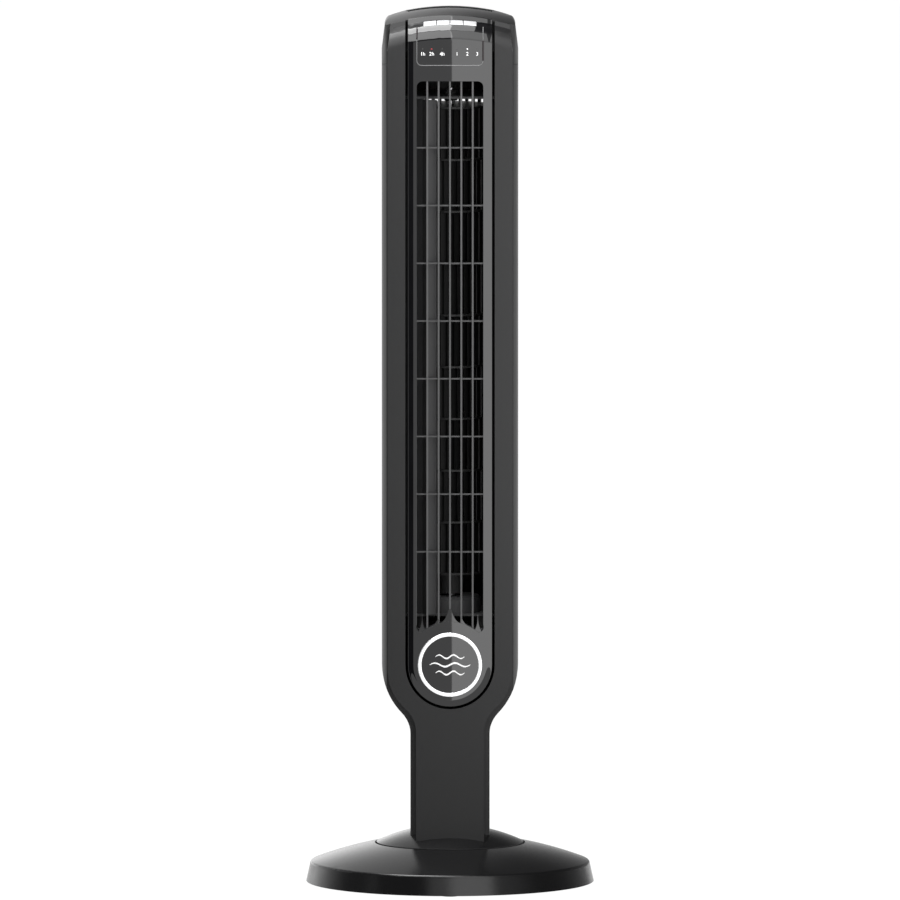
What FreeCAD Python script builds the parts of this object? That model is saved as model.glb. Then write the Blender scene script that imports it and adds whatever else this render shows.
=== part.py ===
"""Tower fan on an oscillating turntable, 914 mm tall, as a parametric FreeCAD document.

Millimetres, +Z up.  The origin is the centre of the footprint on the oscillation axis,
and the air outlet faces -Y.
"""
import FreeCAD, Part
import math
import os
import re

import Sketcher
from FreeCAD import Placement, Rotation, Vector

doc = FreeCAD.newDocument("TowerFan")

# ---------------------------------------------------------------- driving dimensions
SIZES = {
    # base
    "base_radius": 150, "base_edge_radius": 146, "base_edge_height": 19.4,
    "base_dome_radius": 143.6, "base_dome_height": 22.8, "base_mid_radius": 112,
    "base_mid_height": 33.4, "base_rim_height": 1.5,
    "well_radius": 78.4, "well_top": 41.6, "track_height": 32, "track_inner": 52,
    "well_floor": 24, "skin": 2.6, "foot_height": 3, "plate_thickness": 2,
    # oscillation drive
    "pivot_radius": 13, "pivot_bore": 10, "running_gap": 0.05, "hub_bottom": 11,
    "gear_module": 1.25, "sector_teeth": 36, "pinion_teeth": 18, "sector_half_angle": 62,
    "gear_thickness": 6, "turntable_bottom": 36, "turntable_thickness": 3,
    # turntable cap
    "cap_radius": 76.6, "cap_edge_height": 42.4, "cap_mid_radius": 60, "cap_mid_height": 49.2,
    "cap_top_radius": 30, "cap_top_height": 57,
    # tower, rear half
    "tower_bottom": 39, "rear_half": 71, "rear_neck_half": 41.3, "rear_shoulder": 232,
    "rear_convex": 74.9, "rear_concave": 31, "rear_taper_height": 873,
    "rear_crown_half": 68, "rear_crown_height": 897, "rear_corner_half": 59.4,
    "rear_centre": -7, "part_line": 32,
    "shoulder_lean": 5, "shoulder_back": -12, "crown_radius": 230, "tower_height": 914,
    # tower, front half
    "front_half": 65.1, "front_neck_half": 35.4, "front_shoulder": 228,
    "front_convex": 54.9, "front_concave": 33, "front_taper_height": 873,
    "front_crown_half": 62.4, "front_crown_height": 893, "front_corner_half": 54,
    "front_depth": 53.4, "curve_height": 886, "curve_radius": 17.9, "curve_end": 126,
    "keys_back": 36, "keys_back_height": 904.2, "ridge_back": 34.6, "ridge_height": 908.8,
    "wall": 2.4, "seam": 0.4,
    # glossy insert and grille
    "insert_half": 43.7, "insert_groove": 2.8, "badge_height": 233, "badge_radius": 33.6,
    "badge_ring_inner": 29.5, "badge_thickness": 3, "opening_half": 34.6,
    "opening_bottom_radius": 45, "opening_foot": 5, "opening_top": 842.5, "opening_corner": 6,
    "bar_pitch": 11.8, "bar_width": 1.8, "bar_depth": 6, "rib_pitch": 60.3,
    "rib_first": 350.5, "rib_thickness": 1.5,
    # parts under and inside the base
    "inlet_height": 11, "inlet_radius": 6, "ballast_outer": 128, "ballast_inner": 92,
    "ballast_height": 10, "foot_circle": 132, "foot_radius": 9, "plate_screw_circle": 138,
    "plate_screw_radius": 3.5, "plate_hole": 30, "bearing_outer": 73, "bearing_inner": 60,
    "swing_motor_radius": 17, "swing_motor_height": 18, "pinion_shaft": 3,
    # air duct and impeller
    "impeller_x": 1, "impeller_y": 3, "impeller_radius": 40, "impeller_bottom": 325,
    "impeller_top": 814, "disc_thickness": 2, "disc_rim": 11, "blade_thickness": 0.9,
    "blade_count": 30, "section_count": 9, "duct_bottom": 284, "duct_top": 822,
    "duct_wall": 2, "shaft_radius": 4, "shaft_bore": 9, "pin_radius": 3,
    "cup_radius": 31.5, "cup_top": 301, "cup_corner": 3,
    # fan motor
    "motor_radius": 38, "motor_bottom": 206, "motor_top": 265, "boss_radius": 11.5,
    "rotor_radius": 19, "stator_gap": 0.5, "winding_inset": 12, "case_wall": 1.5,
    "bracket_thickness": 3, "grommet_radius": 5, "grommet_circle": 36,
    "capacitor_low": 150, "capacitor_high": 180, "lead_radius": 2.5,
    # controls
    "key_pitch": 13.9, "key_gap": 0.5, "key_foot": 894, "key_drop": 0.9,
    "display_half": 34.4, "lens_low": 866, "lens_high": 882, "lens_thickness": 1.2,
    "lamp_height": 877, "lamp_radius": 1.5, "lamp_length": 4.5,
    "board_half": 34, "board_front": 48.8, "board_back": 34.5, "board_height": 886,
    "board_thickness": 1.6, "switch_size": 6, "switch_height": 4.2, "switch_line": 41.5,
    "receiver_x": 32.5, "receiver_width": 6, "receiver_depth": 4, "receiver_low": 888,
    # intake grille and handle
    "intake_half_angle": 58, "intake_bottom": 321, "intake_top": 824.2, "level_pitch": 55.6,
    "handle_half": 46, "handle_front": 10, "handle_back": 38, "handle_floor": 868,
    "handle_under": 892, "cover_seam": 858,
}

sheet = doc.addObject("Spreadsheet::Sheet", "Sizes")
for row, (alias, number) in enumerate(SIZES.items(), start=1):
    sheet.set(f"A{row}", alias)
    sheet.set(f"B{row}", str(number))
    sheet.setAlias(f"B{row}", alias)
doc.recompute()

NAMES = re.compile(r"\b(" + "|".join(sorted(SIZES, key=len, reverse=True)) + r")\b")


def bound(formula):
    """A formula on sheet aliases, as FreeCAD's expression engine reads it."""
    return NAMES.sub(r"Sizes.\1", str(formula))


def value(formula):
    """The present number of a formula."""
    return float(sheet.evalExpression(bound(formula)))


# ---------------------------------------------------------------- drawing helpers
def arc(centre_u, centre_v, radius, angle):
    """The point of a circle that an arc passes through, marked so that it bends the outline."""
    u = f"({centre_u}) + ({radius}) * cos({angle} * 1 deg)"
    v = f"({centre_v}) + ({radius}) * sin({angle} * 1 deg)"
    return ("through", u, v)


def through(u, v):
    return ("through", u, v)


def mirrored(half):
    """A right half, followed by its mirror image, so that the outline closes on the axis."""
    flipped = []
    on_axis = len(half[-1]) == 3
    for point in reversed(half[:-1] if on_axis else half):
        u = point[-2]
        flip = f"-({u})"
        if len(point) == 3:
            flipped.append(("through", flip, point[-1]))
        else:
            flipped.append((flip, point[-1]))
    return list(half) + flipped


def round_edge(start, middle, end):
    """The arc through three points, counter-clockwise, and which of its ends is the start."""
    circle = Part.Circle(start, middle, end)
    centre = circle.Center
    first, last = (math.atan2(point.y - centre.y, point.x - centre.x) for point in (start, end))
    turning = (middle - start).cross(end - middle).z > 0
    if not turning:
        first, last = last, first
    if last < first:
        last += 2 * math.pi
    upright = Part.Circle(centre, Vector(0, 0, 1), circle.Radius)
    return Part.ArcOfCircle(upright, first, last), (1, 2) if turning else (2, 1)


def draw(sketch, outline):
    """Draws one closed outline of lines and arcs, every point of it bound to the sheet."""
    corners = [point for point in outline if len(point) == 2]
    places = [Vector(value(u), value(v), 0) for u, v in corners]
    bends = {}
    count = 0
    for point in outline:
        if len(point) == 3:
            bends[count - 1] = point
        else:
            count += 1
    first = sketch.GeometryCount
    total = len(corners)
    ends = []
    for index in range(total):
        start = places[index]
        end = places[(index + 1) % total]
        if index in bends:
            _, u, v = bends[index]
            edge, order = round_edge(start, Vector(value(u), value(v), 0), end)
        else:
            edge, order = Part.LineSegment(start, end), (1, 2)
        sketch.addGeometry(edge, False)
        ends.append(order)
    for index in range(total):
        after = (index + 1) % total
        joint = Sketcher.Constraint("Coincident", first + index, ends[index][1],
                                    first + after, ends[after][0])
        sketch.addConstraint(joint)
    for index, (u, v) in enumerate(corners):
        pin(sketch, first + index, ends[index][0], u, v)
    for index, (_, u, v) in bends.items():
        mark = sketch.addGeometry(Part.Point(Vector(value(u), value(v), 0)), True)
        sketch.addConstraint(Sketcher.Constraint("PointOnObject", mark, 1, first + index))
        pin(sketch, mark, 1, u, v)


def pin(sketch, edge, end, u, v):
    """Holds one point of a sketch at (u, v), both bound to the sheet."""
    for kind, formula in (("DistanceX", u), ("DistanceY", v)):
        rule = Sketcher.Constraint(kind, -1, 1, edge, end, value(formula))
        number = sketch.addConstraint(rule)
        sketch.setExpression(f"Constraints[{number}]", bound(formula))


def sketch_on(body, plane, offset, outlines):
    """A sketch on one of the body's own origin planes, moved out along its normal."""
    sketch = body.newObject("Sketcher::SketchObject", body.Name + "_outline")
    face = [item for item in body.Origin.OriginFeatures if item.Role == plane][0]
    sketch.AttachmentSupport = [(face, "")]
    sketch.MapMode = "FlatFace"
    sketch.setExpression("AttachmentOffset.Base.z", bound(offset))
    for outline in outlines:
        draw(sketch, outline)
    return sketch


def pad(label, plane, centre, length, *outlines):
    """A padded body, symmetric about its sketch; centre is measured along the row axis."""
    body = doc.addObject("PartDesign::Body", label)
    offset = f"-({centre})" if plane == "XZ_Plane" else centre
    sketch = sketch_on(body, plane, offset, outlines)
    feature = body.newObject("PartDesign::Pad", label + "_pad")
    feature.Profile = sketch
    if hasattr(feature, "SideType"):
        feature.SideType = "Symmetric"
    else:
        feature.Midplane = True
    feature.setExpression("Length", bound(length))
    return body


def slab(label, bottom, top, *outlines):
    """A body padded straight up, between two heights."""
    return pad(label, "XY_Plane", f"(({bottom}) + ({top})) / 2", f"({top}) - ({bottom})", *outlines)


def turned(label, *outlines):
    """A body of revolution about the Z axis; outlines are (radius, height)."""
    body = doc.addObject("PartDesign::Body", label)
    sketch = sketch_on(body, "XZ_Plane", "0", outlines)
    feature = body.newObject("PartDesign::Revolution", label + "_turn")
    feature.Profile = sketch
    feature.ReferenceAxis = (sketch, ["V_Axis"])
    feature.Angle = 360
    return body


def place(thing, x, y, z):
    for axis, formula in zip("xyz", (x, y, z)):
        thing.setExpression(f"Placement.Base.{axis}", bound(formula))


def box(label, low, high):
    """A box between two corners."""
    thing = doc.addObject("Part::Box", label)
    for side, start, end in zip(("Length", "Width", "Height"), low, high):
        thing.setExpression(side, bound(f"({end}) - ({start})"))
    place(thing, *low)
    return thing


def cylinder(label, x, y, bottom, top, radius):
    """An upright cylinder."""
    thing = doc.addObject("Part::Cylinder", label)
    thing.setExpression("Radius", bound(radius))
    thing.setExpression("Height", bound(f"({top}) - ({bottom})"))
    place(thing, x, y, bottom)
    return thing


def lying_cylinder(label, x, z, front, back, radius):
    """A cylinder along +Y."""
    thing = doc.addObject("Part::Cylinder", label)
    thing.setExpression("Radius", bound(radius))
    thing.setExpression("Height", bound(f"({back}) - ({front})"))
    thing.Placement = Placement(Vector(0, 0, 0), Rotation(Vector(1, 0, 0), -90))
    place(thing, x, front, z)
    return thing


def cut(label, whole, *tools):
    for number, tool in enumerate(tools):
        result = doc.addObject("Part::Cut", label if number == len(tools) - 1 else label + "_step")
        result.Base = whole
        result.Tool = tool
        whole = result
    return whole


def fuse(label, *pieces):
    result = doc.addObject("Part::MultiFuse", label)
    result.Shapes = list(pieces)
    return result


def common(label, *pieces):
    result = doc.addObject("Part::MultiCommon", label)
    result.Shapes = list(pieces)
    return result


def ring(label, x, y, bottom, top, outer, inner):
    """An upright tube."""
    return cut(label, cylinder(label + "_outside", x, y, bottom, top, outer),
               cylinder(label + "_bore", x, y, f"({bottom}) - 1", f"({top}) + 1", inner))


def scattered(label, template, places):
    """Separate copies of one small solid, moved about, as one group of solids."""
    doc.recompute()
    group = doc.addObject("Part::Feature", label)
    copies = []
    for x, y, z in places:
        copy = template.Shape.copy()
        copy.translate(Vector(value(x), value(y), value(z)))
        copies.append(copy)
    group.Shape = Part.makeCompound(copies)
    return group


def on_circle(radius, count, height, start=0):
    """Evenly spaced places round the Z axis."""
    step = 360 / count
    return [(f"({radius}) * cos({start + step * number} * 1 deg)",
             f"({radius}) * sin({start + step * number} * 1 deg)", height)
            for number in range(count)]


NODES = {}


def keep(name, thing):
    """Names a finished sub-part."""
    thing.Label = name
    NODES[name] = thing
    return thing


# ---------------------------------------------------------------- the tower's outer form
def front_outline(side, inset, bottom):
    """Half outline seen from the front: neck, shoulder, side, crown corner."""
    half = f"({side}_half - ({inset}))"
    reach = f"({side}_convex + {side}_concave)"
    cosine = f"(({side}_neck_half - {side}_half + {reach}) / {reach})"
    lean = f"acos({cosine}) / 1 deg"
    low = f"({side}_shoulder - {reach} * sqrt(1 - {cosine}^2))"
    neck = f"({side}_neck_half - ({inset}))"
    convex_u = f"({side}_half - {side}_convex)"
    concave_u = f"({side}_neck_half + {side}_concave)"
    convex = f"({side}_convex - ({inset}))"
    concave = f"({side}_concave + ({inset}))"
    top = f"(tower_height - ({inset}))"
    crown = f"({side}_crown_half - ({inset}))"
    corner = f"({side}_corner_half - ({inset}))"
    corner_top = f"({top} - crown_radius + sqrt(crown_radius^2 - {corner}^2))"
    knee = f"({side}_crown_height - ({inset}) / 2)"
    return mirrored([
        (neck, bottom), (neck, low), arc(concave_u, low, concave, f"(180 - ({lean}) / 2)"),
        (f"{convex_u} + {convex} * {cosine}",
         f"{side}_shoulder - {convex} * sqrt(1 - {cosine}^2)"),
        arc(convex_u, f"{side}_shoulder", convex, f"(-({lean}) / 2)"),
        (half, f"{side}_shoulder"), (half, f"{side}_taper_height"), (crown, knee),
        through(f"({crown} - ({crown} - {corner}) * 0.27)",
                f"({corner_top} - ({corner_top} - {knee}) * 0.3)"),
        (corner, corner_top),
        through("0", top)])


def side_form(label, front, back, floor, outline):
    """The tower seen from the side: a crown turned about an axis low in the tower, and a block."""
    body = doc.addObject("PartDesign::Body", label + "_crown")
    sketch = sketch_on(body, "YZ_Plane", "0", [outline])
    sketch.setExpression("AttachmentOffset.Base.y", bound("tower_height - crown_radius"))
    feature = body.newObject("PartDesign::Revolution", label + "_turn")
    feature.Profile = sketch
    feature.ReferenceAxis = (sketch, ["H_Axis"])
    feature.Angle = 360
    block = box(label + "_block", ("-rear_half * 2", front, floor),
                ("rear_half * 2", back, "rear_taper_height - 40"))
    return fuse(label + "_side", body, block)


def lift(height):
    """A height measured from the crown's axis."""
    return f"(({height}) - tower_height + crown_radius)"


def front_form(label, inset, back, floor="tower_bottom - 20"):
    """The front half of the tower, solid: bezel, insert and keys are all cut from it."""
    face = f"(-front_depth + ({inset}))"
    bend = "(-front_depth + curve_radius)"
    bend_radius = f"(curve_radius - ({inset}))"
    outline = [
        (face, "0"), (face, lift("curve_height")),
        arc(bend, lift("curve_height"), bend_radius, "(curve_end / 2 + 90)"),
        (f"{bend} + {bend_radius} * cos(curve_end * 1 deg)",
         lift(f"curve_height + {bend_radius} * sin(curve_end * 1 deg)")),
        (f"-keys_back + ({inset}) * 0.6", lift(f"keys_back_height - ({inset}) * 1.1")),
        (f"-ridge_back + ({inset}) * 0.8", lift(f"ridge_height - ({inset})")),
        (back, lift(f"ridge_height + 0.6 - ({inset})")), (back, "0")]
    side = side_form(label, face, back, floor, outline)
    outline = front_outline("front", inset, "tower_bottom - 30")
    face_pad = pad(label + "_face", "XZ_Plane", "0", "300", outline)
    return common(label, side, face_pad)


def rear_form(label, inset, front, floor="tower_bottom - 20"):
    """The rear half of the tower, solid, rounded at the back."""
    top = f"(tower_height - ({inset}))"
    back = f"(rear_half + rear_centre - ({inset}))"
    outline = [
        (front, "0"), (front, lift(f"ridge_height + 0.6 - ({inset})")),
        through("-8", lift(f"{top} - 0.9")), ("18", lift(top)), ("46", lift(f"{top} - 1")),
        through(f"{back} - 5", lift(f"{top} - 6")), (back, lift(f"{top} - 18")), (back, "0")]
    side = side_form(label, front, back, floor, outline)
    face_pad = pad(label + "_face", "XZ_Plane", "0", "300",
                   front_outline("rear", inset, "tower_bottom - 30"))
    half = f"(rear_half - ({inset}))"
    plan = mirrored([
        (f"{half} - shoulder_lean", front),
        through(f"{half} - shoulder_lean * 0.28", f"({front}) + (shoulder_back - ({front})) * 0.42"),
        (half, "shoulder_back"), (half, "rear_centre"), through("0", f"rear_centre + {half}")])
    plan_pad = slab(label + "_plan", "0", "tower_height + 10", plan)
    return common(label, side, face_pad, plan_pad)


# ---------------------------------------------------------------- base
shell_outline = [
    ("base_radius", "base_rim_height"), ("base_edge_radius", "base_edge_height"),
    through("base_edge_radius - 0.6", "base_edge_height + 2"),
    ("base_dome_radius", "base_dome_height"),
    through("base_mid_radius", "base_mid_height"),
    ("well_radius", "well_top"), ("well_radius", "track_height"),
    ("track_inner", "track_height"), ("track_inner", "well_floor"),
    ("pivot_radius + running_gap", "well_floor"), ("pivot_radius + running_gap", "hub_bottom"),
    ("pivot_radius + 3.5", "hub_bottom"), ("pivot_radius + 3.5", "well_floor - skin"),
    ("track_inner + skin", "well_floor - skin"), ("track_inner + skin", "track_height - skin"),
    ("well_radius + skin", "track_height - skin"), ("well_radius + skin", "well_top - skin - 0.4"),
    through("base_mid_radius", "base_mid_height - skin"),
    ("base_dome_radius - 1", "base_dome_height - skin"),
    ("base_edge_radius - skin", "base_edge_height - 1"),
    ("base_radius - skin", "base_rim_height")]
bare_shell = turned("bare_shell", shell_outline)
inlet_hole = lying_cylinder("inlet_hole", "0", "inlet_height", "base_radius - 20",
                            "base_radius + 5", "inlet_radius")
base_shell = keep("base_shell", cut("shell_with_inlet", bare_shell, inlet_hole))

base_plate = keep("base_plate", ring("plate", "0", "0", "foot_height - 0.5",
                                     "foot_height - 0.5 + plate_thickness",
                                     "base_radius - skin - 1", "plate_hole"))
ballast = keep("ballast_ring", ring("ballast", "0", "0", "foot_height - 0.5 + plate_thickness",
                                    "foot_height - 0.5 + plate_thickness + ballast_height",
                                    "ballast_outer", "ballast_inner"))
foot = cylinder("foot", "0", "0", "0", "foot_height - 0.5", "foot_radius")
feet = keep("rubber_feet", scattered("feet", foot, on_circle("foot_circle", 6, "0", 30)))
screw = cylinder("screw", "0", "0", "1", "foot_height - 0.5", "plate_screw_radius")
base_screws = keep("base_screws", scattered("screws", screw, on_circle("plate_screw_circle", 6, "0", 0)))
bearing = keep("bearing_ring", ring("bearing", "0", "0", "track_height",
                                    "turntable_bottom - 0.1", "bearing_outer", "bearing_inner"))
inlet = keep("cord_inlet", cut("inlet", lying_cylinder(
    "inlet_body", "0", "inlet_height", "base_radius - 9", "base_radius + 1",
    "inlet_radius - 0.1"), lying_cylinder(
    "inlet_bore", "0", "inlet_height", "base_radius - 20", "base_radius + 5",
    "inlet_radius / 2")))


# ---------------------------------------------------------------- oscillation drive
def gear_outline(teeth, first_tooth, last_tooth, thinning):
    """Involute teeth of the module in the sheet, one after another, with 20 degree flanks."""
    module = value("gear_module")
    pitch = module * teeth / 2
    root = pitch - 1.25 * module
    tip = pitch + 0.9 * module
    circle = pitch * math.cos(math.radians(20))
    half = math.pi / (2 * teeth) - thinning / pitch
    spread = math.tan(math.radians(20)) - math.radians(20)
    points = []
    for tooth in range(first_tooth, last_tooth + 1):
        middle = 2 * math.pi * tooth / teeth
        flank = []
        for step in range(7):
            radius = max(circle, root) + (tip - max(circle, root)) * step / 6
            roll = math.acos(min(1, circle / radius))
            angle = half + spread - (math.tan(roll) - roll)
            flank.append((radius, angle))
        profile = [(root, flank[0][1])] + flank
        points += [(radius, middle - angle) for radius, angle in profile]
        points += [(radius, middle + angle) for radius, angle in reversed(profile)]
    return points


def gear_solid(points, bottom, top, closing):
    corners = [Vector(r * math.cos(a), r * math.sin(a), bottom) for r, a in points] + closing
    wire = Part.makePolygon(corners + corners[:1])
    return Part.Face(wire).extrude(Vector(0, 0, top - bottom))


sector_gear = keep("sector_gear", doc.addObject("Part::Feature", "sector"))
reach = math.floor(value("sector_half_angle") / 360 * value("sector_teeth"))
sector_rise = value("well_floor")
sector_points = gear_outline(int(value("sector_teeth")), 9 - reach, 9 + reach, 0.09)
sector_inner = value("pivot_radius") + 1.5
sector_end = math.radians(value("sector_half_angle") + 3)
sector_back = [Vector(sector_inner * math.cos(math.pi / 2 + turn),
                      sector_inner * math.sin(math.pi / 2 + turn), sector_rise)
               for turn in [sector_end * (1 - step / 8) for step in range(17)]]
sector_gear.Shape = gear_solid(sector_points, sector_rise,
                               sector_rise + value("gear_thickness"), sector_back)

pinion_y = "gear_module * (sector_teeth + pinion_teeth) / 2"
pinion_gear = doc.addObject("Part::Feature", "pinion_gear")
pinion_gear.Shape = gear_solid(gear_outline(int(value("pinion_teeth")), 0,
                                            int(value("pinion_teeth")) - 1, 0.09),
                               value("well_floor + 0.5"), value("well_floor + gear_thickness"), [])
pinion_gear.Placement = Placement(Vector(0, value(pinion_y), 0), Rotation())
pinion_shaft = cylinder("pinion_shaft", "0", pinion_y, "well_floor + 0.5",
                        "turntable_bottom + turntable_thickness + 3", "pinion_shaft")
drive_pinion = keep("drive_pinion", fuse("pinion", pinion_gear, pinion_shaft))

plate_height = "turntable_bottom + turntable_thickness"
turntable_disc = turned("turntable_disc", [
    ("cap_radius - 3", "turntable_bottom"), ("cap_radius - 3", plate_height),
    ("pivot_bore", plate_height), ("pivot_bore", "hub_bottom - 0.1"),
    ("pivot_radius", "hub_bottom - 0.1"), ("pivot_radius", "turntable_bottom")])
pinion_hole = cylinder("pinion_hole", "0", pinion_y, "turntable_bottom - 1",
                       f"{plate_height} + 1", "pinion_shaft + 0.3")
turntable = keep("turntable_plate", cut("turntable", turntable_disc, pinion_hole))
washer = keep("retaining_washer", ring("washer", "0", "0", "hub_bottom - 2.1", "hub_bottom - 0.1",
                                       "pivot_radius + 6", "pivot_bore"))
drive_motor = keep("swing_motor", ring("drive_motor", "0", pinion_y, plate_height,
                                       f"{plate_height} + swing_motor_height",
                                       "swing_motor_radius", "pinion_shaft + 0.3"))
cap_outline = [
    ("cap_radius", "turntable_bottom + 1"), ("cap_radius", "cap_edge_height"),
    through("cap_mid_radius", "cap_mid_height"), ("cap_top_radius", "cap_top_height"),
    ("cap_top_radius", "cap_top_height - skin"),
    through("cap_mid_radius - 1", "cap_mid_height - skin"),
    ("cap_radius - 2.4", "cap_edge_height - skin"), ("cap_radius - 2.4", "turntable_bottom + 1")]
cap_shell = turned("cap_shell", cap_outline)
neck_plug_front = box("neck_plug_front", ("-front_neck_half - 0.15", "-front_depth - 0.15", "20"),
                      ("front_neck_half + 0.15", "-part_line + 1", "80"))
neck_plug_rear = rear_form("neck_plug_rear", "-0.15", "-part_line - 0.15")
cap = keep("turntable_cap", cut("cap", cap_shell, neck_plug_front, neck_plug_rear))

# ---------------------------------------------------------------- front half of the tower
front_outer = front_form("front_outer", "0", "-part_line - seam / 2", "tower_bottom")
front_inner = front_form("front_inner", "wall", "0")


def u_outline(half, top):
    """A slot with a round end about the badge's centre."""
    return [(half, top), (f"-({half})", top), (f"-({half})", "badge_height"),
            through("0", f"badge_height - ({half})"), (half, "badge_height")]


bezel_window = pad("bezel_window", "XZ_Plane", "-45", "60",
                   u_outline("insert_half + insert_groove", "tower_height + 20"))
bezel = keep("front_bezel", cut("bezel", front_outer, front_inner, bezel_window))

insert_block = pad("insert_block", "XZ_Plane", "-46", "40",
                   u_outline("insert_half", "tower_height + 20"))
insert_outer = front_form("insert_outer", "-0.6", "-part_line - seam / 2")
insert_inner = front_form("insert_inner", "2", "0")
opening_low = "badge_height + sqrt(opening_bottom_radius^2 - opening_half^2)"
foot_half = "(opening_half - opening_foot)"
foot_low = f"badge_height + sqrt(opening_bottom_radius^2 - {foot_half}^2)"
opening = pad("opening", "XZ_Plane", "-46", "40", [
    (foot_half, foot_low),
    through("opening_half - opening_foot * 0.25", f"{foot_low} + opening_foot * 0.35"),
    ("opening_half", f"{foot_low} + opening_foot * 1.6"), ("opening_half", "opening_top - opening_corner"),
    arc("opening_half - opening_corner", "opening_top - opening_corner", "opening_corner", "45"),
    ("opening_half - opening_corner", "opening_top"),
    ("-opening_half + opening_corner", "opening_top"),
    arc("-opening_half + opening_corner", "opening_top - opening_corner", "opening_corner", "135"),
    ("-opening_half", "opening_top - opening_corner"),
    ("-opening_half", f"{foot_low} + opening_foot * 1.6"),
    through("-opening_half + opening_foot * 0.25", f"{foot_low} + opening_foot * 0.35"),
    (f"-{foot_half}", foot_low), through("0", "badge_height + opening_bottom_radius")])
badge_seat = lying_cylinder("badge_seat", "0", "badge_height", "-front_depth - 5",
                            "-front_depth + badge_thickness", "badge_radius + 0.1")
keys_front = "(-front_depth + curve_radius * (1 + cos(curve_end * 1 deg)))"
key_window = box("key_window", ("-key_pitch * 2", f"{keys_front} + 0.2", "870"),
                 ("key_pitch * 2", "-keys_back - 0.1", "tower_height"))
insert = keep("front_insert", cut("insert", common("insert_skin", insert_outer, insert_block),
                                  insert_inner, opening, badge_seat, key_window))

# keys: each is a cap cut from the same crown, on a stem that reaches its switch
keys = []
key_form = front_form("key_form", "-key_drop", "0")
for number, name in enumerate(("timer_key", "swing_key", "speed_key", "power_key")):
    left = f"key_pitch * {number - 2} + key_gap / 2"
    right = f"key_pitch * {number - 1} - key_gap / 2"
    block = box(name + "_block", (left, f"{keys_front} + 0.6", "key_foot"),
                (right, "-keys_back - 1", "tower_height"))
    keys.append(keep(name, common(name + "_cap", key_form, block)))
board_face = "(board_height + board_thickness)"
board = keep("control_board", box("board", ("-board_half", "-board_front", "board_height"),
                                  ("board_half", "-board_back", board_face)))
switch = box("switch",
             ("-switch_size / 2", "-switch_line - switch_size / 2", board_face),
             ("switch_size / 2", "-switch_line + switch_size / 2",
              f"{board_face} + switch_height"))
keep("key_switches", scattered("switch_group", switch, [
    (f"key_pitch * {number - 1.5}", "0", "0") for number in range(4)]))
lens_front = "(-front_depth + 2.2)"
lens_back = f"({lens_front} + lens_thickness)"
lens = keep("display_lens", box("lens", ("-display_half + 3", lens_front, "lens_low"),
                                ("display_half - 3", lens_back, "lens_high")))
lamp = lying_cylinder("lamp", "0", "lamp_height", f"{lens_back} + 0.1",
                      f"{lens_back} + 0.1 + lamp_length", "lamp_radius")
keep("indicator_lamps", scattered("lamp_group", lamp, [
    (f"{x}", "0", "0") for x in (-28.3, -19, -8.1, 7.3, 18, 28.2)]))
receiver_front = "(-front_depth + 9)"
receiver = keep("remote_receiver", box(
    "receiver", ("receiver_x - receiver_width / 2", receiver_front, "receiver_low"),
    ("receiver_x + receiver_width / 2", f"{receiver_front} + receiver_depth",
     "receiver_low + receiver_width")))

# ---------------------------------------------------------------- badge
badge_ring = keep("badge_ring", cut(
    "ring_step", lying_cylinder("ring_body", "0", "badge_height", "-front_depth - 1.4",
                                "-front_depth + badge_thickness", "badge_radius"),
    lying_cylinder("ring_bore", "0", "badge_height", "-front_depth - 3",
                   "-front_depth + 5", "badge_ring_inner")))
badge_disc = keep("badge_disc", lying_cylinder(
    "badge_plate", "0", "badge_height", "-front_depth - 0.4", "-front_depth + badge_thickness",
    "badge_ring_inner"))

# ---------------------------------------------------------------- outlet grille
grille_back = "(-front_depth + 9.4)"
frame_front = "(-front_depth + 2.1)"
grille_outline = [("opening_half + 4", opening_low + " - 1"),
                  ("opening_half + 4", "opening_top + 5"),
                  ("-opening_half - 4", "opening_top + 5"),
                  ("-opening_half - 4", opening_low + " - 1"),
                  through("0", "badge_height + opening_bottom_radius - 5")]
opening_wide = pad("grille_plate", "XZ_Plane", f"({frame_front} + {grille_back}) / 2",
                   f"{grille_back} - {frame_front}", grille_outline)
grille_frame = cut("grille_frame", opening_wide, opening)
bar_back = "(-front_depth + 0.6 + bar_depth)"
grille_bars = [box(f"bar_{number}",
                   (f"bar_pitch * {number} - bar_width / 2", "-front_depth + 0.6",
                    "badge_height + opening_bottom_radius - 9"),
                   (f"bar_pitch * {number} + bar_width / 2", bar_back, "opening_top + 1"))
               for number in range(-2, 3)]
grille_ribs = [box(f"rib_{number}",
                   ("-opening_half - 1", f"{bar_back} - 0.1",
                    f"rib_first + rib_pitch * {number} - rib_thickness / 2"),
                   ("opening_half + 1", grille_back,
                    f"rib_first + rib_pitch * {number} + rib_thickness / 2"))
               for number in range(8)]
grille_room = pad("grille_room", "XZ_Plane", "-front_depth", "front_depth", grille_outline)
grille = keep("outlet_grille", cut("grille_trimmed", common(
    "grille", fuse("grille_all", grille_frame, *grille_bars, *grille_ribs), grille_room), insert))

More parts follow.
